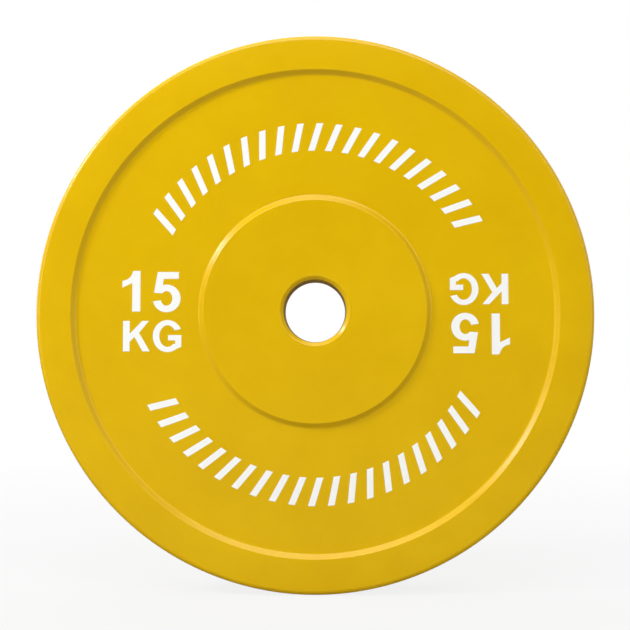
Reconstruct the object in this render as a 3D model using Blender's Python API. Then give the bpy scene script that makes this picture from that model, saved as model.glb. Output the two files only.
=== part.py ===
"""A 15 kg moulded rubber weight plate with a steel hub, in metres, +Z up.

The plate stands on its tread with its axis along Y and its front face towards -Y.
The origin is the centre of the bore, halfway through the plate.
"""

import math

import bmesh
import bpy
from mathutils import Matrix, Vector

MM = 0.001

# Plate: overall sizes of the moulded rubber disc
PLATE_DIAMETER = 450 * MM
PLATE_THICKNESS = 64 * MM
TREAD_CORNER_RADIUS = 4 * MM

# Faces: a raised rim and a raised boss with a dished web between them
RECESS_DEPTH = 3.0 * MM
RIM_WIDTH = 28.3 * MM
RIM_CROWN_DROP = 0.8 * MM
BOSS_DIAMETER = 179.6 * MM
STEP_WIDTH = 3.9 * MM
STEP_TOP_FILLET = 1.2 * MM
STEP_BASE_FILLET = 3 * MM

# Bore: the size of the hole in the steel, and the rubber mouth in front of it
BORE_DIAMETER = 50.4 * MM
MOUTH_CLEARANCE = 0.3 * MM
MOUTH_LAND = 0.8 * MM
MOUTH_CHAMFER_WIDTH = 2.5 * MM
MOUTH_CHAMFER_DEPTH = 2.4 * MM
MOUTH_GROOVE_OFFSET = 1.2 * MM
MOUTH_GROOVE_WIDTH = 1.4 * MM
MOUTH_GROOVE_DEPTH = 0.15 * MM
MOUTH_GROOVE_SLOPE = 0.5 * MM

# Sleeve: a turned steel tube whose barrel spaces the two flanges
SLEEVE_WALL = 3.8 * MM
SLEEVE_EDGE_CHAMFER = 0.8 * MM
BARREL_LENGTH = 20 * MM
BARREL_STEP = 2.6 * MM
GROOVE_WIDTH = 4 * MM
GROOVE_DEPTH = 1.4 * MM
GROOVE_SLOPE = 0.8 * MM

# Flanges: perforated steel discs that hold the sleeve in the rubber
FLANGE_WIDTH = 29 * MM
FLANGE_THICKNESS = 3 * MM
FLANGE_HOLE_COUNT = 8
FLANGE_HOLE_DIAMETER = 13 * MM

# Gap left between pieces that touch
SEAT_GAP = 0.3 * MM

# Fineness of the round shapes
PLATE_SEGMENTS = 80
HUB_SEGMENTS = 48
HOLE_SEGMENTS = 16
CROWN_STEPS = 3
STEP_FILLET_STEPS = 2
TREAD_CORNER_STEPS = 4
SHARP_ANGLE = math.radians(25)

PLATE_RADIUS = PLATE_DIAMETER / 2
HALF_PLATE = PLATE_THICKNESS / 2
BORE_RADIUS = BORE_DIAMETER / 2
MOUTH_RADIUS = BORE_RADIUS + MOUTH_CLEARANCE
SLEEVE_RADIUS = BORE_RADIUS + SLEEVE_WALL
BARREL_RADIUS = SLEEVE_RADIUS + BARREL_STEP
HALF_BARREL = BARREL_LENGTH / 2
MOUTH_FLOOR = HALF_PLATE - MOUTH_CHAMFER_DEPTH - MOUTH_LAND
HALF_SLEEVE = MOUTH_FLOOR - SEAT_GAP
VOID_CORE_RADIUS = BORE_RADIUS / 2
FLANGE_INNER_RADIUS = SLEEVE_RADIUS + SEAT_GAP
FLANGE_OUTER_RADIUS = SLEEVE_RADIUS + FLANGE_WIDTH
FLANGE_HOLE_CIRCLE = (BARREL_RADIUS + FLANGE_OUTER_RADIUS) / 2
FLANGE_MIDDLE = HALF_BARREL + SEAT_GAP + FLANGE_THICKNESS / 2
SLOT_INSIDE = FLANGE_MIDDLE - FLANGE_THICKNESS / 2 - SEAT_GAP
SLOT_OUTSIDE = FLANGE_MIDDLE + FLANGE_THICKNESS / 2 + SEAT_GAP
SLOT_RADIUS = FLANGE_OUTER_RADIUS + SEAT_GAP


def clear_scene():
    for obj in list(bpy.data.objects):
        bpy.data.objects.remove(obj)


def material(name, colour, roughness, metallic=0.0):
    made = bpy.data.materials.new(name)
    made.use_nodes = True
    shader = made.node_tree.nodes["Principled BSDF"]
    shader.inputs["Base Color"].default_value = (*colour, 1.0)
    shader.inputs["Roughness"].default_value = roughness
    shader.inputs["Metallic"].default_value = metallic
    return made


def rounded_corner(before, corner, after, radius, steps):
    """The points of an arc that rounds a corner between two others, as (radius, height) pairs.

    The arc is limited to end no further than half way along either side.
    """
    before, corner, after = Vector(before), Vector(corner), Vector(after)
    towards_before = (before - corner).normalized()
    towards_after = (after - corner).normalized()
    half_angle = towards_before.angle(towards_after) / 2
    shorter_side = min((before - corner).length, (after - corner).length)
    tangent = min(radius / math.tan(half_angle), shorter_side / 2)
    to_centre = (towards_before + towards_after).normalized() * (tangent / math.cos(half_angle))
    start = towards_before * tangent - to_centre
    turn = start.angle_signed(towards_after * tangent - to_centre)
    centre = corner + to_centre
    return [tuple(centre + Matrix.Rotation(-turn * i / steps, 2) @ start) for i in range(steps + 1)]


def rim_crown():
    """The rim's face after its lip, falling as a parabola to the outline: (radius, height) pairs."""
    lip = PLATE_RADIUS - RIM_WIDTH
    shares = [i / CROWN_STEPS for i in range(1, CROWN_STEPS + 1)]
    return [(lip + RIM_WIDTH * share, HALF_PLATE - RIM_CROWN_DROP * share**2) for share in shares]


def mouth_profile():
    """The chamfered mouth of the bore and the shallow groove round it: (radius, height) pairs."""
    chamfer_end = MOUTH_RADIUS + MOUTH_CHAMFER_WIDTH
    groove_start = chamfer_end + MOUTH_GROOVE_OFFSET
    groove_end = groove_start + MOUTH_GROOVE_WIDTH
    groove_floor = HALF_PLATE - MOUTH_GROOVE_DEPTH
    return [
        (MOUTH_RADIUS, MOUTH_FLOOR + MOUTH_LAND),
        (chamfer_end, HALF_PLATE),
        (groove_start, HALF_PLATE),
        (groove_start + MOUTH_GROOVE_SLOPE, groove_floor),
        (groove_end - MOUTH_GROOVE_SLOPE, groove_floor),
        (groove_end, HALF_PLATE),
    ]


def face_profile():
    """One half of the plate's outline, from the bore over its face to the middle of the tread."""
    web = HALF_PLATE - RECESS_DEPTH
    boss = BOSS_DIAMETER / 2
    lip = PLATE_RADIUS - RIM_WIDTH
    mouth = mouth_profile()
    *crown, outer_corner = rim_crown()
    corners = [
        mouth[-1],
        (boss, HALF_PLATE),
        (boss + STEP_WIDTH, web),
        (lip - STEP_WIDTH, web),
        (lip, HALF_PLATE),
        crown[0],
    ]
    fillets = [STEP_TOP_FILLET, STEP_BASE_FILLET, STEP_BASE_FILLET, STEP_TOP_FILLET]
    face = []
    for before, corner, after, fillet in zip(corners, corners[1:], corners[2:], fillets):
        face += rounded_corner(before, corner, after, fillet, STEP_FILLET_STEPS)
    middle = (PLATE_RADIUS, 0)
    tread = rounded_corner(crown[-1], outer_corner, middle, TREAD_CORNER_RADIUS, TREAD_CORNER_STEPS)
    return mouth + face + crown + tread


def mirrored(half):
    """A closed outline from one half of it, given above the middle plane from the inside out."""
    return half + [(radius, -height) for radius, height in reversed(half)]


def turned(name, outline, segments):
    """A solid of revolution about Y, from a closed outline of (radius, height) pairs.

    The middles of its flats lie at the outline's radii, so a hole stays as wide as its circle, and
    the plate is as tall as its diameter. One flat faces straight down.
    """
    shape = bmesh.new()
    half_step = math.pi / segments
    start = Matrix.Rotation(half_step, 4, "Y")
    corners = [Vector((radius / math.cos(half_step), height, 0)) for radius, height in outline]
    verts = [shape.verts.new(start @ corner) for corner in corners]
    edges = [shape.edges.new((a, b)) for a, b in zip(verts, verts[1:] + verts[:1])]
    bmesh.ops.spin(
        shape,
        geom=verts + edges,
        cent=(0, 0, 0),
        axis=(0, 1, 0),
        angle=math.tau,
        steps=segments,
        use_merge=True,
    )
    bmesh.ops.recalc_face_normals(shape, faces=shape.faces)
    return finished(name, shape)


def finished(name, shape):
    """Links the shape as an object that is shaded smooth, with its hard edges kept."""
    mesh = bpy.data.meshes.new(name)
    shape.to_mesh(mesh)
    shape.free()
    mesh.shade_smooth()
    mesh.set_sharp_from_angle(angle=SHARP_ANGLE)
    obj = bpy.data.objects.new(name, mesh)
    bpy.context.scene.collection.objects.link(obj)
    return obj


def cut(obj, cutter):
    """Takes the cutter's shape out of obj, and keeps the cutter as a hidden helper that moves with it."""
    cutter.parent = obj
    cutter.hide_render = True
    cutter.display_type = "WIRE"
    boolean = obj.modifiers.new(cutter.name, "BOOLEAN")
    boolean.operation = "DIFFERENCE"
    boolean.solver = "EXACT"
    boolean.object = cutter


def ring_of_rods(name, radius):
    """Rods along Y on the flanges' hole circle, one for each hole, as one mesh.

    They are as long as the plate is thick, and the first two stand half a step either side of X.
    """
    shape = bmesh.new()
    for i in range(FLANGE_HOLE_COUNT):
        place = Matrix.Rotation(math.tau * (i + 0.5) / FLANGE_HOLE_COUNT, 4, "Y")
        place @= Matrix.Translation((FLANGE_HOLE_CIRCLE, 0, 0))
        place @= Matrix.Rotation(math.pi / 2, 4, "X")
        bmesh.ops.create_cone(
            shape,
            cap_ends=True,
            segments=HOLE_SEGMENTS,
            radius1=radius,
            radius2=radius,
            depth=PLATE_THICKNESS,
            matrix=place,
        )
    return finished(name, shape)


def sleeve_end(grown):
    """The outside of the sleeve from its end to the flange, with its groove, grown by a gap."""
    tube = SLEEVE_RADIUS + grown
    groove_middle = (SLOT_OUTSIDE + HALF_SLEEVE) / 2
    groove_mouth = GROOVE_WIDTH / 2 - grown
    groove_floor = groove_mouth - GROOVE_SLOPE
    return [
        (tube, HALF_SLEEVE + grown),
        (tube, groove_middle + groove_mouth),
        (tube - GROOVE_DEPTH, groove_middle + groove_floor),
        (tube - GROOVE_DEPTH, groove_middle - groove_floor),
        (tube, groove_middle - groove_mouth),
    ]


def hub_sleeve():
    """The steel tube that runs on the bar, with both ends of its bore chamfered."""
    bore_end = [
        (BORE_RADIUS, HALF_SLEEVE - SLEEVE_EDGE_CHAMFER),
        (BORE_RADIUS + SLEEVE_EDGE_CHAMFER, HALF_SLEEVE),
    ]
    shoulder = [(SLEEVE_RADIUS, HALF_BARREL), (BARREL_RADIUS, HALF_BARREL)]
    sleeve = turned("hub_sleeve", mirrored(bore_end + sleeve_end(0) + shoulder), HUB_SEGMENTS)
    sleeve.data.materials.append(material("turned_steel", (0.10, 0.09, 0.08), 0.45, 1.0))


def anchor_flange(name, side):
    """One perforated disc, pressed against the barrel's shoulder on this side (-1 front, 1 rear)."""
    half = FLANGE_THICKNESS / 2
    outline = mirrored([(FLANGE_INNER_RADIUS, half), (FLANGE_OUTER_RADIUS, half)])
    flange = turned(name, outline, HUB_SEGMENTS)
    cut(flange, ring_of_rods(name + "_holes", FLANGE_HOLE_DIAMETER / 2))
    flange.location.y = side * FLANGE_MIDDLE
    flange.data.materials.append(material(name + "_steel", (0.32, 0.32, 0.33), 0.5, 1.0))


def insert_void():
    """The room that the sleeve and both flanges fill, a gap larger than the steel all round.

    The flanges' holes are left out of it, so the rubber runs through each disc as pegs.
    """
    core_end = [(VOID_CORE_RADIUS, HALF_SLEEVE + SEAT_GAP)]
    slot = [
        (SLEEVE_RADIUS + SEAT_GAP, SLOT_OUTSIDE),
        (SLOT_RADIUS, SLOT_OUTSIDE),
        (SLOT_RADIUS, SLOT_INSIDE),
        (BARREL_RADIUS + SEAT_GAP, SLOT_INSIDE),
    ]
    void = turned("insert_void", mirrored(core_end + sleeve_end(SEAT_GAP) + slot), HUB_SEGMENTS)
    cut(void, ring_of_rods("pegs", FLANGE_HOLE_DIAMETER / 2 - SEAT_GAP))
    return void


def rubber_body():
    """The moulded disc, closed round the sleeve and both flanges."""
    body = turned("rubber_body", mirrored(face_profile()), PLATE_SEGMENTS)
    cut(body, insert_void())
    body.data.materials.append(material("yellow_rubber", (0.72, 0.45, 0.005), 0.5))


clear_scene()
rubber_body()
hub_sleeve()
anchor_flange("anchor_flange_front", -1)
anchor_flange("anchor_flange_rear", 1)
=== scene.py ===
"""The looks of a 15 kg moulded rubber weight plate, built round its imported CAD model.

The plate stands on its tread. Its bore lies along Y and its front face looks towards -Y. The origin is the
middle of the bore, halfway through the plate. Sizes are in millimetres, and meshes are written in metres.
"""

import bpy
import numpy as np
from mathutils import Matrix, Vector


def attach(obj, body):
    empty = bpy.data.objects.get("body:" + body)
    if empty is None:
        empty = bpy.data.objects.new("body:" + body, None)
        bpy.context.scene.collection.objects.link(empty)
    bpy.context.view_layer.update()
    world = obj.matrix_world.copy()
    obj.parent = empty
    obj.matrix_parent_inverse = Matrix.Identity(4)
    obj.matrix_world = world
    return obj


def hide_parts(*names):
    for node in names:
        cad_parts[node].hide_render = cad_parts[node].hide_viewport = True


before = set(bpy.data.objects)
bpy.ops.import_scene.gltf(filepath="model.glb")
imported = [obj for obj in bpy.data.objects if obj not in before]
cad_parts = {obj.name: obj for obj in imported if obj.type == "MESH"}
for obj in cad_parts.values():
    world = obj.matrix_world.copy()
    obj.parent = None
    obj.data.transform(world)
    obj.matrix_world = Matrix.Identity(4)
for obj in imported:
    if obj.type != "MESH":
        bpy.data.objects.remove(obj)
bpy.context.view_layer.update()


# Rubber disc. Solid yellow rubber, pressed and cured round the steel insert between two turned mould halves.
# It laps over the sleeve's ends, fills its grooves and runs through the flanges' holes as pegs, so nothing
# else holds the insert. The mould halves leave a fine line of flash round the middle of the tread.

PLATE_RADIUS = 225.0
PLATE_HALF = 32.0
FLASH_HEIGHT, FLASH_HALF_WIDTH = 0.15, 0.35
TREAD_CORNER = 4.0
RIM_WIDTH, RIM_CROWN, RIM_CURVE = 28.3, 0.6, 400.0
RECESS_DEPTH = 3.0
BOSS_RADIUS = 89.8
STEP_WIDTH, STEP_TOP_FILLET, STEP_FOOT_FILLET = 3.9, 1.2, 3.0
MOUTH_RADIUS, MOUTH_CHAMFER_RADIUS = 25.5, 28.0
MOUTH_LAND_INSIDE, MOUTH_LAND_OUTSIDE = 28.8, 29.9
MOUTH_GROOVE_INSIDE, MOUTH_GROOVE_OUTSIDE = 29.2, 30.6
MOUTH_GROOVE_DEPTH, MOUTH_GROOVE_SLOPE = 0.07, 0.5
FINE_FILLET, SOFT_FILLET, MOUTH_FILLET = 0.15, 0.6, 2.2
FACE_FILLET_STEPS, CAVITY_FILLET_STEPS, TURN_STEPS = 5, 1, 256

WEB_HALF = PLATE_HALF - RECESS_DEPTH
TREAD_RADIUS = PLATE_RADIUS - FLASH_HEIGHT
LIP_RADIUS = PLATE_RADIUS - RIM_WIDTH
MOUTH_GROOVE_FLOOR = PLATE_HALF - MOUTH_GROOVE_DEPTH

# The cavity that the insert fills, 0.3 mm clear of it all round: the sleeve's end, the groove that the rubber
# keys into, the flange's slot, and the thick middle of the sleeve.
CAVITY_RADIUS, KEY_RADIUS, BARREL_CAVITY_RADIUS, SLOT_RADIUS = 29.3, 27.9, 31.9, 58.3
KEY_INSIDE, KEY_OUTSIDE, KEY_SLOPE = 19.35, 22.75, 0.8
SLOT_INSIDE, SLOT_OUTSIDE = 10.0, 13.6
UNDER_LAND = 0.5                           # from the land's underside to the cavity's next point

PEG_COUNT, PEG_RADIUS, PEG_CIRCLE_RADIUS = 8, 6.2, 44.8
PEG_SINK, PEG_STEPS = 0.1, 24


def rounded(corners, steps, margin=0.25, share=0.3):
    """An open outline with its inner corners rounded. Each is (radius, height along the bore, fillet).

    A fillet's arc touches both sides at fillet / tan(half the corner's angle) from the corner, and its centre
    lies on the corner's bisector. One more point follows each end of the arc, which keeps the flat beside it
    flat under smooth shading. It is margin further on, or this share of the flat where that is less.
    """
    corners = np.asarray(corners, float)
    place, fillet = corners[:, :2], corners[1:-1, 2:]
    side = np.diff(place, axis=0)
    length = np.linalg.norm(side, axis=1, keepdims=True)
    side /= length
    back, ahead = -side[:-1], side[1:]
    half = np.arccos(np.clip((back * ahead).sum(1, keepdims=True), -1, 1)) / 2
    reach = fillet / np.tan(half)
    bisector = (back + ahead) / np.linalg.norm(back + ahead, axis=1, keepdims=True)
    across = (back - ahead) / np.linalg.norm(back - ahead, axis=1, keepdims=True)
    turn = (np.pi / 2 - half)[:, None] * np.linspace(-1, 1, steps + 1)[None, :, None]
    centre = (place[1:-1] + bisector * fillet / np.sin(half))[:, None]
    arc = centre - fillet[:, None] * (np.cos(turn) * bisector[:, None] + np.sin(turn) * across[:, None])
    ends = np.zeros((1, 1))
    free = length - np.vstack([ends, reach]) - np.vstack([reach, ends])
    if (free < 0).any():
        raise ValueError("two fillets of an outline overlap")
    spare = np.minimum(margin, share * free)
    before = (place[1:-1] + back * (reach + spare[:-1]))[:, None]
    after = (place[1:-1] + ahead * (reach + spare[1:]))[:, None]
    inner = np.concatenate([before, arc, after], axis=1).reshape(-1, 2)
    return np.vstack([place[:1], inner, place[-1:]])


def both_halves(outline):
    """An outline from the plate's middle plane and back to it, closed by its mirror image in that plane."""
    return np.vstack([outline, outline[-2:0:-1] * (1, -1)])


def turned(outline, steps):
    """A closed outline turned about the bore: point(i, j) = (r[i] cos t[j], y[i], r[i] sin t[j]).

    t goes once round. The outline is (radius, height), anticlockwise, so that the faces look outwards.
    """
    angle = np.arange(steps) * 2 * np.pi / steps
    radius, height = outline[:, :1], outline[:, 1:]
    points = np.stack([radius * np.cos(angle), height + 0 * angle, radius * np.sin(angle)], -1).reshape(-1, 3)
    i, j = np.meshgrid(np.arange(len(outline)), np.arange(steps), indexing="ij")
    i_next, j_next = (i + 1) % len(outline), (j + 1) % steps
    corners = (i * steps + j, i_next * steps + j, i_next * steps + j_next, i * steps + j_next)
    return points, np.stack(corners, -1).reshape(-1, 4)


def rods(centres, radius, ends, steps):
    """Closed round rods along the bore, one at each (x, z) centre: points, sides, near and far ends.

    A point is (x + radius cos t, end, z + radius sin t), with t once round.
    """
    angle = np.arange(steps) * 2 * np.pi / steps
    ring = radius * np.stack([np.cos(angle), np.sin(angle)], -1)
    flat = centres[:, None, None] + ring
    height = np.broadcast_to(np.asarray(ends, float)[None, :, None], (len(centres), 2, steps))
    flat = np.broadcast_to(flat, (len(centres), 2, steps, 2))
    points = np.stack([flat[..., 0], height, flat[..., 1]], -1).reshape(-1, 3)
    first = 2 * steps * np.arange(len(centres))[:, None]
    near, near_next = first + np.arange(steps), first + (np.arange(steps) + 1) % steps
    sides = np.stack([near, near + steps, near_next + steps, near_next], -1).reshape(-1, 4)
    return points, sides, near, near[:, ::-1] + steps


def write_piece(name, points, faces, material, smooth=True):
    """One piece of the plate from its points in millimetres and its faces, with its place in its mesh."""
    mesh = bpy.data.meshes.new(name)
    mesh.from_pydata((np.asarray(points) / 1000).tolist(), [], [list(face) for face in faces])
    mesh.polygons.foreach_set("use_smooth", np.full(len(mesh.polygons), smooth))
    mesh.materials.append(material)
    mesh.update()
    piece = bpy.data.objects.new(name, mesh)
    bpy.context.scene.collection.objects.link(piece)
    return piece


def linear(hexadecimal):
    """An sRGB colour such as "#DDB10A" as linear red, green, blue and alpha.

    A channel c becomes ((c + 0.055) / 1.055) to the power 2.4, or c / 12.92 where it is very dark.
    """
    srgb = np.array([int(hexadecimal[k:k + 2], 16) for k in (1, 3, 5)]) / 255
    return (*np.where(srgb <= 0.04045, srgb / 12.92, ((srgb + 0.055) / 1.055) ** 2.4).tolist(), 1.0)


def bare_material(name):
    """A new material with no nodes yet."""
    material = bpy.data.materials.new(name)
    material.use_nodes = True
    material.node_tree.nodes.clear()
    return material


def add_node(tree, kind, settings=(), inputs=()):
    """Adds a node, sets its properties, and gives each input, by name or number, a value or a link."""
    node = tree.nodes.new(kind)
    for name, value in dict(settings).items():
        setattr(node, name, value)
    for name, value in dict(inputs).items():
        if isinstance(value, bpy.types.NodeSocket):
            tree.links.new(value, node.inputs[name])
        else:
            node.inputs[name].default_value = value
    return node


def per_metre(size):
    """The scale that draws a noise texture's features this many millimetres apart."""
    return 1000 / size


def waves_per_metre(size):
    """The scale that draws a wave texture's crests this many millimetres apart.

    At a scale of 1 the texture's crests are 2 pi / 20 of a metre apart.
    """
    return per_metre(size) * 2 * np.pi / 20


# Pigmented rubber from a bead-blasted steel mould: satin, with a fine even grain, the faint rings of the tool
# that turned the mould, and a yellow that drifts a little where the pigment milled in unevenly.
DEEP_YELLOW, LIGHT_YELLOW = "#DBAF00", "#E0B502"
GRAIN_RELIEF, TOOL_RING_RELIEF = 0.012, 0.0015
rubber = bare_material("moulded_yellow_rubber")
tree = rubber.node_tree
place = add_node(tree, "ShaderNodeTexCoord").outputs["Object"]
pigment = add_node(tree, "ShaderNodeTexNoise", inputs={
    "Vector": place, "Scale": per_metre(60), "Detail": 4.0, "Roughness": 0.6})
pigment_share = add_node(tree, "ShaderNodeMapRange", inputs={
    "Value": pigment.outputs["Fac"], "From Min": 0.35, "From Max": 0.65})
yellow = add_node(tree, "ShaderNodeMix", {"data_type": "RGBA"}, {
    0: pigment_share.outputs["Result"], 6: linear(DEEP_YELLOW), 7: linear(LIGHT_YELLOW)})
bloom = add_node(tree, "ShaderNodeTexNoise", inputs={
    "Vector": place, "Scale": per_metre(35), "Detail": 5.0, "Roughness": 0.65})
satin = add_node(tree, "ShaderNodeMapRange", inputs={
    "Value": bloom.outputs["Fac"], "From Min": 0.3, "From Max": 0.7, "To Min": 0.22, "To Max": 0.26})
# The blasted grain is about 0.1 mm, too fine to show, so it is drawn 0.9 mm apart.
grain = add_node(tree, "ShaderNodeTexNoise", inputs={
    "Vector": place, "Scale": per_metre(0.9), "Detail": 2.0, "Roughness": 0.5})
grain_bump = add_node(tree, "ShaderNodeBump", inputs={
    "Height": grain.outputs["Fac"], "Strength": 1.0, "Distance": GRAIN_RELIEF / 1000})
# The mould's turning marks are about 0.2 mm apart, too fine to show, so they are drawn about 10 mm apart.
tool_rings = add_node(tree, "ShaderNodeTexWave", {"wave_type": "RINGS", "rings_direction": "Y"}, {
    "Vector": place, "Scale": waves_per_metre(10.053), "Distortion": 0.3, "Detail": 1.0})
ring_bump = add_node(tree, "ShaderNodeBump", inputs={
    "Height": tool_rings.outputs["Fac"], "Strength": 1.0, "Distance": TOOL_RING_RELIEF / 1000,
    "Normal": grain_bump.outputs["Normal"]})
surface = add_node(tree, "ShaderNodeBsdfPrincipled", inputs={
    "Base Color": yellow.outputs[2], "Roughness": satin.outputs["Result"],
    "Normal": ring_bump.outputs["Normal"], "IOR": 1.52, "Specular IOR Level": 0.4})
add_node(tree, "ShaderNodeOutputMaterial", inputs={"Surface": surface.outputs["BSDF"]})

# The rear half's outline, from the flash on the tread over the rim, the web and the boss and into the mouth.
half_face = rounded([
    (PLATE_RADIUS, 0, 0),
    (PLATE_RADIUS, FLASH_HALF_WIDTH, FINE_FILLET / 2),
    (TREAD_RADIUS, 2 * FLASH_HALF_WIDTH, FINE_FILLET),
    (TREAD_RADIUS, PLATE_HALF - RIM_CROWN, TREAD_CORNER),
    (PLATE_RADIUS - RIM_WIDTH / 2, PLATE_HALF, RIM_CURVE),
    (LIP_RADIUS, PLATE_HALF, STEP_TOP_FILLET),
    (LIP_RADIUS - STEP_WIDTH, WEB_HALF, STEP_FOOT_FILLET),
    (BOSS_RADIUS + STEP_WIDTH, WEB_HALF, STEP_FOOT_FILLET),
    (BOSS_RADIUS, PLATE_HALF, STEP_TOP_FILLET),
    (MOUTH_GROOVE_OUTSIDE, PLATE_HALF, SOFT_FILLET),
    (MOUTH_GROOVE_OUTSIDE - MOUTH_GROOVE_SLOPE, MOUTH_GROOVE_FLOOR, SOFT_FILLET),
    (MOUTH_GROOVE_INSIDE + MOUTH_GROOVE_SLOPE, MOUTH_GROOVE_FLOOR, SOFT_FILLET),
    (MOUTH_GROOVE_INSIDE, PLATE_HALF, SOFT_FILLET),
    (MOUTH_CHAMFER_RADIUS, PLATE_HALF, MOUTH_FILLET),
    (MOUTH_RADIUS, MOUTH_LAND_OUTSIDE, FINE_FILLET),
    (MOUTH_RADIUS, MOUTH_LAND_INSIDE, FINE_FILLET),
    (CAVITY_RADIUS, MOUTH_LAND_INSIDE, 0),
], FACE_FILLET_STEPS)

half_cavity = rounded([
    (CAVITY_RADIUS, MOUTH_LAND_INSIDE - UNDER_LAND, 0),
    (CAVITY_RADIUS, KEY_OUTSIDE, FINE_FILLET),
    (KEY_RADIUS, KEY_OUTSIDE - KEY_SLOPE, FINE_FILLET),
    (KEY_RADIUS, KEY_INSIDE + KEY_SLOPE, FINE_FILLET),
    (CAVITY_RADIUS, KEY_INSIDE, FINE_FILLET),
    (CAVITY_RADIUS, SLOT_OUTSIDE, FINE_FILLET),
    (SLOT_RADIUS, SLOT_OUTSIDE, FINE_FILLET),
    (SLOT_RADIUS, SLOT_INSIDE, FINE_FILLET),
    (BARREL_CAVITY_RADIUS, SLOT_INSIDE, FINE_FILLET),
    (BARREL_CAVITY_RADIUS, 0, 0),
], CAVITY_FILLET_STEPS)

disc_points, disc_faces = turned(both_halves(np.vstack([half_face, half_cavity])), TURN_STEPS)

# The pegs of rubber in the flanges' holes cross each slot and sink a little into both its walls.
peg_angle = (np.arange(PEG_COUNT) + 0.5) * 2 * np.pi / PEG_COUNT
peg_centres = PEG_CIRCLE_RADIUS * np.stack([np.cos(peg_angle), np.sin(peg_angle)], -1)
peg_ends = np.array([SLOT_INSIDE - PEG_SINK, SLOT_OUTSIDE + PEG_SINK])
points, faces = [disc_points], disc_faces.tolist()
for ends in (peg_ends, -peg_ends[::-1]):
    peg_points, sides, near_ends, far_ends = rods(peg_centres, PEG_RADIUS, ends, PEG_STEPS)
    start = sum(len(p) for p in points)
    points.append(peg_points)
    for part in (sides, near_ends, far_ends):
        faces += (part + start).tolist()

rubber_disc = write_piece("moulded_rubber_disc", np.vstack(points), faces, rubber)
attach(rubber_disc, "root")
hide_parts("rubber_body")


# Hub sleeve. A length of thick steel tube that the bar's end slides through, turned all over and blackened
# against rust. Its thick middle locates the flanges, and a groove near each end keys into the rubber.

SLEEVE_HALF, BORE_RADIUS, SLEEVE_RADIUS, BARREL_RADIUS = 28.5, 25.2, 29.0, 31.6
BARREL_HALF, SLEEVE_CHAMFER = 10.0, 0.8
GROOVE_INSIDE, GROOVE_OUTSIDE, GROOVE_FLOOR_RADIUS, GROOVE_SLOPE = 19.05, 23.05, 27.6, 0.8
SLEEVE_EDGE, SLEEVE_EDGE_STEPS = 0.1, 4

# Turned steel, blackened, with a dull film almost without gloss, drawn into fine rings by the boring tool.
# Its
# light tan is a painted reflection: it stands in for the yellow rubber mirrored in the steel, in two tones
# that vary at random. It shows dark brown, as little light reaches down the bore.
TAN_REFLECTION_DARK, TAN_REFLECTION_LIGHT = "#A08840", "#B89C50"
FEED_RELIEF = 0.01
blackened = bare_material("turned_blackened_steel")
tree = blackened.node_tree
place = add_node(tree, "ShaderNodeTexCoord").outputs["Object"]
# The tool's feed is about 0.15 mm, too fine to show, so its rings are drawn about 4 mm apart.
feed = add_node(tree, "ShaderNodeTexWave", {"wave_type": "BANDS", "bands_direction": "Y"}, {
    "Vector": place, "Scale": waves_per_metre(3.77), "Distortion": 0.6, "Detail": 2.0, "Detail Scale": 3.0})
feed_bump = add_node(tree, "ShaderNodeBump", inputs={
    "Height": feed.outputs["Fac"], "Strength": 1.0, "Distance": FEED_RELIEF / 1000})
patchiness = add_node(tree, "ShaderNodeTexNoise", inputs={
    "Vector": place, "Scale": per_metre(9), "Detail": 4.0, "Roughness": 0.6})
# Painted reflection: the two tan tones stand in for the yellow rubber mirrored in the bore's wall.
reflection_tint = add_node(tree, "ShaderNodeMix", {"data_type": "RGBA"}, {
    0: patchiness.outputs["Fac"], 6: linear(TAN_REFLECTION_DARK), 7: linear(TAN_REFLECTION_LIGHT)})
dullness = add_node(tree, "ShaderNodeMapRange", inputs={
    "Value": patchiness.outputs["Fac"], "From Min": 0.3, "From Max": 0.7, "To Min": 0.75, "To Max": 0.6})
surface = add_node(tree, "ShaderNodeBsdfPrincipled", inputs={
    "Base Color": reflection_tint.outputs[2], "Roughness": dullness.outputs["Result"],
    "Normal": feed_bump.outputs["Normal"], "Specular IOR Level": 0.02})
add_node(tree, "ShaderNodeOutputMaterial", inputs={"Surface": surface.outputs["BSDF"]})

half_sleeve = rounded([
    (BARREL_RADIUS, 0, 0),
    (BARREL_RADIUS, BARREL_HALF, SLEEVE_EDGE),
    (SLEEVE_RADIUS, BARREL_HALF, SLEEVE_EDGE),
    (SLEEVE_RADIUS, GROOVE_INSIDE, SLEEVE_EDGE),
    (GROOVE_FLOOR_RADIUS, GROOVE_INSIDE + GROOVE_SLOPE, SLEEVE_EDGE),
    (GROOVE_FLOOR_RADIUS, GROOVE_OUTSIDE - GROOVE_SLOPE, SLEEVE_EDGE),
    (SLEEVE_RADIUS, GROOVE_OUTSIDE, SLEEVE_EDGE),
    (SLEEVE_RADIUS, SLEEVE_HALF, SLEEVE_EDGE),
    (BORE_RADIUS + SLEEVE_CHAMFER, SLEEVE_HALF, SLEEVE_EDGE),
    (BORE_RADIUS, SLEEVE_HALF - SLEEVE_CHAMFER, SLEEVE_EDGE),
    (BORE_RADIUS, 0, 0),
], SLEEVE_EDGE_STEPS)
sleeve_points, sleeve_faces = turned(both_halves(half_sleeve), TURN_STEPS)
sleeve = write_piece("turned_hub_sleeve", sleeve_points, sleeve_faces, blackened)
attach(sleeve, "root")
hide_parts("hub_sleeve")


# Anchor flanges. Two discs stamped from 3 mm steel sheet with a ring of punched holes, left bare. They stand
# against the shoulders of the sleeve's thick middle, buried in the rubber. Their CAD solids have the real
# shape and stay.

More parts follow.
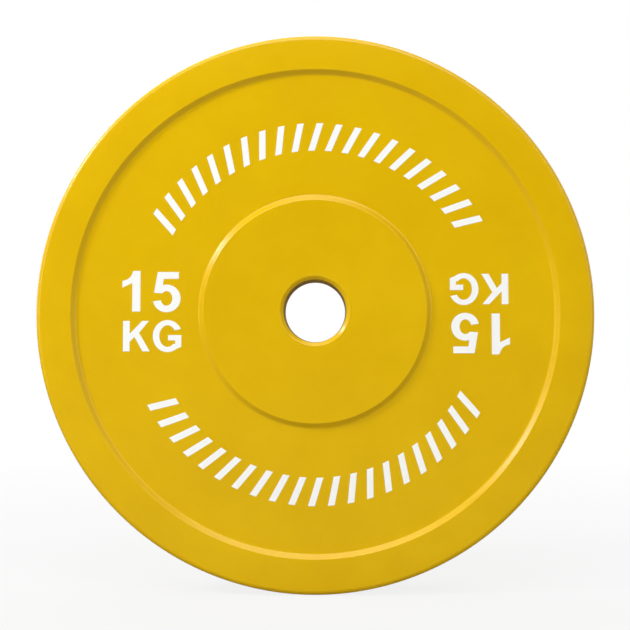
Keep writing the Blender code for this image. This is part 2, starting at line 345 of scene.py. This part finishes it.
# Bare cold-rolled sheet: a bright grey with straight, slightly broken rolling lines across it.
DARK_STEEL, LIGHT_STEEL = "#BDBDC0", "#CFCFD0"
ROLLING_STRETCH, ROLLING_RELIEF = 25, 0.01
stamped = bare_material("stamped_cold_rolled_steel")
tree = stamped.node_tree
place = add_node(tree, "ShaderNodeTexCoord").outputs["Object"]
rolled = add_node(tree, "ShaderNodeMapping", inputs={
    "Vector": place, "Scale": (1 / ROLLING_STRETCH, 1.0, 1.0)})
# Rolling lines are a few hundredths of a millimetre wide, too fine to show, so they are drawn 0.7 mm apart.
rolling_lines = add_node(tree, "ShaderNodeTexNoise", inputs={
    "Vector": rolled.outputs["Vector"], "Scale": per_metre(0.7), "Detail": 3.0, "Roughness": 0.6})
rolling_bump = add_node(tree, "ShaderNodeBump", inputs={
    "Height": rolling_lines.outputs["Fac"], "Strength": 1.0, "Distance": ROLLING_RELIEF / 1000})
sheet_grey = add_node(tree, "ShaderNodeMix", {"data_type": "RGBA"}, {
    0: rolling_lines.outputs["Fac"], 6: linear(DARK_STEEL), 7: linear(LIGHT_STEEL)})
sheet_sheen = add_node(tree, "ShaderNodeMapRange", inputs={
    "Value": rolling_lines.outputs["Fac"], "From Min": 0.3, "From Max": 0.7, "To Min": 0.32, "To Max": 0.45})
surface = add_node(tree, "ShaderNodeBsdfPrincipled", inputs={
    "Base Color": sheet_grey.outputs[2], "Metallic": 1.0, "Roughness": sheet_sheen.outputs["Result"],
    "Normal": rolling_bump.outputs["Normal"]})
add_node(tree, "ShaderNodeOutputMaterial", inputs={"Surface": surface.outputs["BSDF"]})

for name in ("anchor_flange_front", "anchor_flange_rear"):
    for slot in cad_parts[name].material_slots:
        slot.material = stamped


# Printed marks. One coat of white ink, screen printed on the floor of the recess on both faces: the weight,
# twice, the right way up on the left and upside down on the right, and an arc of slanted bars above and below
# the boss.

INK_THICKNESS, INK_SINK = 0.1, 0.05
PRINT_CENTRE = (0.6, -1.3)                 # the screen was a little off the plate's centre
MARK_PLACE = (-156.0, 0.8)                 # lower left corner of the numerals, from the print's centre
UNIT_PLACE = (-155.1, -31.2)               # lower left corner of the unit, from the print's centre
FIVE_ACROSS, G_ACROSS = 24.7, 24.0         # the second character's left edge, from the first one's
ARC_INSIDE, ARC_OUTSIDE, ARC_HALF_ANGLE = 131.5, 154.0, 59.0
BAR_COUNT, BAR_WIDTH, BAR_SLANT = 21, 5.4, 7.0


def bend(centre, radii, start, end, steps):
    """Points along an ellipse from one angle to another, in degrees: centre + (a cos t, b sin t)."""
    angle = np.radians(np.linspace(start, end, steps + 1))
    return np.array(centre) + np.stack([radii[0] * np.cos(angle), radii[1] * np.sin(angle)], -1)


def ink_film(outlines):
    """Flat patches of ink, one for each closed outline, (across, up) seen from the front and anticlockwise.

    Each is the outline carried along the bore from just under the rubber's face to the ink's own thickness
    above it.
    """
    points, faces, start = [], [], 0
    for outline in outlines:
        count = len(outline)
        for height in (WEB_HALF - INK_SINK, WEB_HALF + INK_THICKNESS):
            points.append(np.insert(outline, 1, -height, axis=1))
        under = start + np.arange(count)
        under_next = start + (np.arange(count) + 1) % count
        faces += np.stack([under, under_next, under_next + count, under + count], -1).tolist()
        faces += [under[::-1].tolist(), (under + count).tolist()]
        start += 2 * count
    return np.vstack(points), faces


one = np.vstack([
    [(14.6, 0), (14.6, 32.8), (9.1, 32.8)],
    bend((0, 34.2), (8.6, 9.3), -12, -90, steps=8),
    [(0, 19.2), (8.0, 23.1), (8.0, 0)],
])
five = (FIVE_ACROSS, 0) + np.vstack([
    [(20.9, 26.4), (20.9, 31.9), (3.8, 31.9), (0.9, 15.1), (6.0, 14.7)],
    bend((11.0, 10.6), (4.7, 5.9), 136, -165, steps=20),
    [(0, 8.2)],
    bend((11.1, 10.6), (11.3, 11.2), -168, 106, steps=20),
    [(8.8, 26.4)],
])
letter_k = np.array([
    (0, 0), (5.4, 0), (5.4, 7.6), (9.2, 11.6), (15.8, 0), (21.6, 0), (12.9, 14.9), (20.8, 24.5),
    (15.4, 24.5), (5.4, 14.1), (5.4, 24.5), (0, 24.5),
])
letter_g = (G_ACROSS, 0) + np.vstack([
    bend((11.9, 12.3), (11.9, 12.9), 26, 306, steps=30),
    [(23.0, 3.6), (23.0, 13.1), (12.3, 13.1), (12.3, 8.8), (18.1, 8.8), (18.1, 6.0)],
    bend((11.9, 12.3), (6.6, 8.7), -46, -328, steps=26),
])
weight = [one + MARK_PLACE, five + MARK_PLACE, letter_k + UNIT_PLACE, letter_g + UNIT_PLACE]

# A bar is a patch of the band between two circles: its points are at radius r and at the angle of its middle
# plus (half a width either way + a share of the slant that grows with r) / r. They run along one end, down a
# side, back along the other end and up, as shares of the bar's width across and of its length up.
end, side = np.linspace(0.5, -0.5, 3), np.linspace(0.4, -0.4, 7)
across = np.concatenate([end, np.full(len(side), -0.5), -end, np.full(len(side), 0.5)])
up = np.concatenate([np.full(len(end), 0.5), side, np.full(len(end), -0.5), -side])
bar_radius = (ARC_INSIDE + ARC_OUTSIDE) / 2 + up * (ARC_OUTSIDE - ARC_INSIDE)
bar_middle = np.radians(np.linspace(90 - ARC_HALF_ANGLE, 90 + ARC_HALF_ANGLE, BAR_COUNT))
bar_angle = bar_middle[:, None] - (across * BAR_WIDTH + up * BAR_SLANT) / bar_radius
bars = np.stack([bar_radius * np.cos(bar_angle), bar_radius * np.sin(bar_angle)], -1)[:, ::-1]

# Screen ink on rubber: an almost even white, a little less glossy than the rubber, with the screen's marks.
THIN_INK, FULL_INK = "#F1F1ED", "#F6F6F3"
INK_RELIEF = 0.012
ink = bare_material("screen_printed_white_ink")
tree = ink.node_tree
place = add_node(tree, "ShaderNodeTexCoord").outputs["Object"]
coverage = add_node(tree, "ShaderNodeTexNoise", inputs={
    "Vector": place, "Scale": per_metre(4), "Detail": 3.0, "Roughness": 0.6})
white = add_node(tree, "ShaderNodeMix", {"data_type": "RGBA"}, {
    0: coverage.outputs["Fac"], 6: linear(THIN_INK), 7: linear(FULL_INK)})
# The screen's mesh leaves marks about 0.1 mm apart, too fine to show, so they are drawn 0.9 mm apart.
mesh_marks = add_node(tree, "ShaderNodeTexNoise", inputs={
    "Vector": place, "Scale": per_metre(0.9), "Detail": 1.0})
mesh_bump = add_node(tree, "ShaderNodeBump", inputs={
    "Height": mesh_marks.outputs["Fac"], "Strength": 1.0, "Distance": INK_RELIEF / 1000})
surface = add_node(tree, "ShaderNodeBsdfPrincipled", inputs={
    "Base Color": white.outputs[2], "Roughness": 0.5, "Normal": mesh_bump.outputs["Normal"],
    "IOR": 1.5, "Specular IOR Level": 0.25})
add_node(tree, "ShaderNodeOutputMaterial", inputs={"Surface": surface.outputs["BSDF"]})

HALF_TURN_ON_FACE = np.array([-1, 1, -1])
HALF_TURN_TO_REAR = np.array([-1, -1, 1])
print_shift = np.array([PRINT_CENTRE[0], 0, PRINT_CENTRE[1]])
for what, outlines in (("weight_marks", weight), ("arc_bars", list(bars))):
    mark_points, mark_faces = ink_film(outlines)
    both = np.vstack([mark_points, mark_points * HALF_TURN_ON_FACE]) + print_shift
    both_faces = mark_faces + [[k + len(mark_points) for k in face] for face in mark_faces]
    for face_name, turn in (("front", 1), ("rear", HALF_TURN_TO_REAR)):
        printed = write_piece(f"printed_{what}_{face_name}", both * turn, both_faces, ink, smooth=False)
        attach(printed, "root")


# Floor. A plain pale sheet under the plate, which isn't part of it. The camera sees it almost white, so that
# it runs into the background, but it keeps a soft shadow near the plate. Gloss sees it dark, so that no white
# haze lies over the rubber.

FLOOR_HALF, FLOOR_HEIGHT = 6000.0, -PLATE_RADIUS
FADE_START, FADE_END = 250, 1200           # from the plate's middle
WHITENESS_NEAR, WHITENESS_FAR = 0.85, 1.0
FLOOR_PALE, FLOOR_IN_GLOSS = "#B0B0B0", "#202020"
floor_paint = bare_material("plain_white_floor")
tree = floor_paint.node_tree
place = add_node(tree, "ShaderNodeTexCoord").outputs["Object"]
path = add_node(tree, "ShaderNodeLightPath")
straight = add_node(tree, "ShaderNodeMath", {"operation": "MAXIMUM"}, {
    0: path.outputs["Is Camera Ray"], 1: path.outputs["Is Transmission Ray"]})
from_plate = add_node(tree, "ShaderNodeVectorMath", {"operation": "LENGTH"}, {0: place})
whiteness = add_node(tree, "ShaderNodeMapRange", inputs={
    "Value": from_plate.outputs["Value"], "From Min": FADE_START / 1000, "From Max": FADE_END / 1000,
    "To Min": WHITENESS_NEAR, "To Max": WHITENESS_FAR})
white_share = add_node(tree, "ShaderNodeMath", {"operation": "MULTIPLY"}, {
    0: straight.outputs[0], 1: whiteness.outputs["Result"]})
pale = add_node(tree, "ShaderNodeMix", {"data_type": "RGBA"}, {
    0: path.outputs["Is Glossy Ray"], 6: linear(FLOOR_PALE), 7: linear(FLOOR_IN_GLOSS)})
lit = add_node(tree, "ShaderNodeBsdfDiffuse", inputs={"Color": pale.outputs[2]})
glow = add_node(tree, "ShaderNodeEmission", inputs={"Color": linear("#FFFFFF"), "Strength": 1.0})
floor_mix = add_node(tree, "ShaderNodeMixShader", inputs={
    0: white_share.outputs[0], 1: lit.outputs["BSDF"], 2: glow.outputs["Emission"]})
add_node(tree, "ShaderNodeOutputMaterial", inputs={"Surface": floor_mix.outputs["Shader"]})
floor_corners = np.array([(-1, -1), (1, -1), (1, 1), (-1, 1)]) * FLOOR_HALF
floor_points = np.insert(floor_corners, 2, FLOOR_HEIGHT, axis=1)
floor = write_piece("floor", floor_points, [(0, 1, 2, 3)], floor_paint, smooth=False)


# Light. A plain white studio. In front of the plate the world's light comes in a soft ring round the bore's
# line, dark in its middle and dim at the sides, so that the rubber's gloss stays clear. Behind the plate it
# is even, but dimmer in the middle. A small bright lamp at the upper left, nearly level with the face, and a
# wide soft one above and in front give the highlights on the steps. A wide dim one behind lights the rear.

RING_LEVEL, SIDE_LEVEL, REAR_LEVEL, REAR_MIDDLE_LEVEL = 2.3, 0.12, 1.1, 0.4
# Where each sets in and is full, by how far a direction leans along the bore: 0 is square to it, 1 along it.
RING_START, RING_FULL = 0.45, 0.65
MIDDLE_START, MIDDLE_FULL = 0.72, 0.88
REAR_START, REAR_FULL = 0.0, 0.3
world = bpy.data.worlds.new("white_studio")
bpy.context.scene.world = world
world.use_nodes = True
tree = world.node_tree
tree.nodes.clear()
facing = add_node(tree, "ShaderNodeTexCoord").outputs["Generated"]
along = add_node(tree, "ShaderNodeSeparateXYZ", inputs={0: facing}).outputs["Y"]
along_either_way = add_node(tree, "ShaderNodeMath", {"operation": "ABSOLUTE"}, {0: along})
ring = add_node(tree, "ShaderNodeMapRange", {"interpolation_type": "SMOOTHSTEP"}, {
    "Value": along_either_way.outputs[0], "From Min": RING_START, "From Max": RING_FULL,
    "To Min": SIDE_LEVEL, "To Max": RING_LEVEL})
front = add_node(tree, "ShaderNodeMapRange", {"interpolation_type": "SMOOTHSTEP"}, {
    "Value": along_either_way.outputs[0], "From Min": MIDDLE_START, "From Max": MIDDLE_FULL,
    "To Min": ring.outputs["Result"], "To Max": 0.0})
rear = add_node(tree, "ShaderNodeMapRange", {"interpolation_type": "SMOOTHSTEP"}, {
    "Value": along_either_way.outputs[0], "From Min": MIDDLE_START, "From Max": MIDDLE_FULL,
    "To Min": REAR_LEVEL, "To Max": REAR_MIDDLE_LEVEL})
room = add_node(tree, "ShaderNodeMapRange", {"interpolation_type": "SMOOTHSTEP"}, {
    "Value": along, "From Min": REAR_START, "From Max": REAR_FULL,
    "To Min": front.outputs["Result"], "To Max": rear.outputs["Result"]})
# The backdrop is plain white where it is seen straight or through something, and gloss shows it white behind
# the plate. In front of the plate gloss shows the room, so that no white haze lies over the rubber.
path = add_node(tree, "ShaderNodeLightPath")
straight = add_node(tree, "ShaderNodeMath", {"operation": "MAXIMUM"}, {
    0: path.outputs["Is Camera Ray"], 1: path.outputs["Is Transmission Ray"]})
mirrored = add_node(tree, "ShaderNodeMapRange", {"interpolation_type": "SMOOTHSTEP"}, {
    "Value": along, "From Min": REAR_START, "From Max": REAR_FULL,
    "To Min": 0.0, "To Max": path.outputs["Is Glossy Ray"]})
seen = add_node(tree, "ShaderNodeMath", {"operation": "MAXIMUM"}, {
    0: straight.outputs[0], 1: mirrored.outputs["Result"]})
strength = add_node(tree, "ShaderNodeMapRange", inputs={
    "Value": seen.outputs[0], "To Min": room.outputs["Result"], "To Max": 1.0})
surround = add_node(tree, "ShaderNodeBackground", inputs={
    "Color": linear("#FFFFFF"), "Strength": strength.outputs["Result"]})
add_node(tree, "ShaderNodeOutputWorld", inputs={"Surface": surround.outputs["Background"]})

LAMP_DISTANCE = 2300
# Each lamp is a round one: its name, the direction it stands in, how wide it is, and its power in watts.
for name, towards, size, power in (
    ("left_lamp", (-0.783, -0.321, 0.534), 420, 29.0),
    ("top_lamp", (0.0, -0.5, 0.866), 2200, 23.5),
    ("rear_lamp", (-0.3, 0.8, 0.52), 2200, 12.0),
):
    lamp = bpy.data.lights.new(name, "AREA")
    lamp.shape = "DISK"
    lamp.size = size / 1000
    lamp.energy = power
    holder = bpy.data.objects.new(name, lamp)
    bpy.context.scene.collection.objects.link(holder)
    holder.location = Vector(towards).normalized() * LAMP_DISTANCE / 1000
    holder.rotation_euler = (-Vector(towards)).to_track_quat("-Z", "Y").to_euler()


# Camera. Level with a point a little below the bore, 1 m in front, pitched up about four degrees: the
# photograph's circles draw together towards the top. The shift brings the plate back to the middle of the
# frame.

CAMERA_PLACE = (6.5, -1032.0, -23.0)
CAMERA_PITCH, CAMERA_YAW, CAMERA_SHIFT = 4.198, 0.369, -0.106
LENS, SENSOR = 71.12, 36.0
lens = bpy.data.cameras.new("camera")
lens.lens = LENS
lens.sensor_width = SENSOR
lens.shift_y = CAMERA_SHIFT
camera = bpy.data.objects.new("camera", lens)
bpy.context.scene.collection.objects.link(camera)
camera.location = Vector(CAMERA_PLACE) / 1000
camera.rotation_euler = (np.radians(90 + CAMERA_PITCH), 0, np.radians(CAMERA_YAW))
bpy.context.scene.camera = camera
bpy.context.scene.view_settings.view_transform = "Standard"
